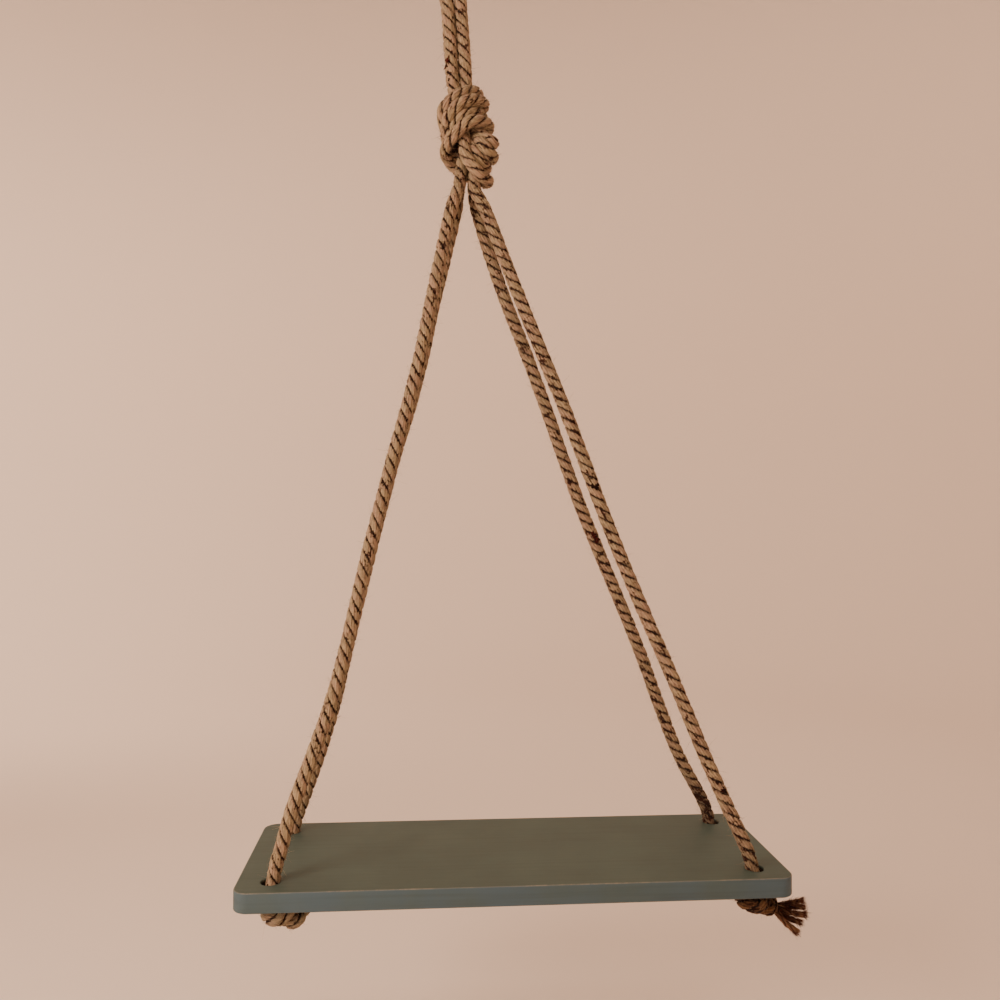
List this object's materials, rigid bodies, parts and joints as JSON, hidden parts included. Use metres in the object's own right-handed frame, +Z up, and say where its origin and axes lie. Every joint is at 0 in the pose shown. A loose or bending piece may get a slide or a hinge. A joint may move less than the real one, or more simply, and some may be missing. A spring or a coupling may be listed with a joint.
{
  "type": "rope hanging shelf",
  "caption": "Painted board held at its corners by jute ropes that meet in one overhand knot under loops for a hook.",
  "frame": {"origin": "where the hanging loops bear on their hook", "axes": "+X along the board, to the right seen from the room, +Y towards the wall, +Z up, square to the board's top"},
  "size_m": [0.5198, 0.18, 0.9732],
  "materials": {
    "paint": "matt grey-green paint on softwood, rubbed to bare wood along the edges",
    "jute": "three-strand laid jute rope, hairy and undyed"
  },
  "bodies": {
    "root": {"board": "paint", "top_knot": "jute", "loop_front": "jute", "loop_back": "jute", "leg_front_left": "jute", "leg_front_right": "jute", "leg_back_left": "jute", "leg_back_right": "jute", "stopper_front_left": "jute", "stopper_front_right": "jute", "stopper_back_left": "jute", "stopper_back_right": "jute", "tail_front_right": "jute"}
  },
  "joints": []
}
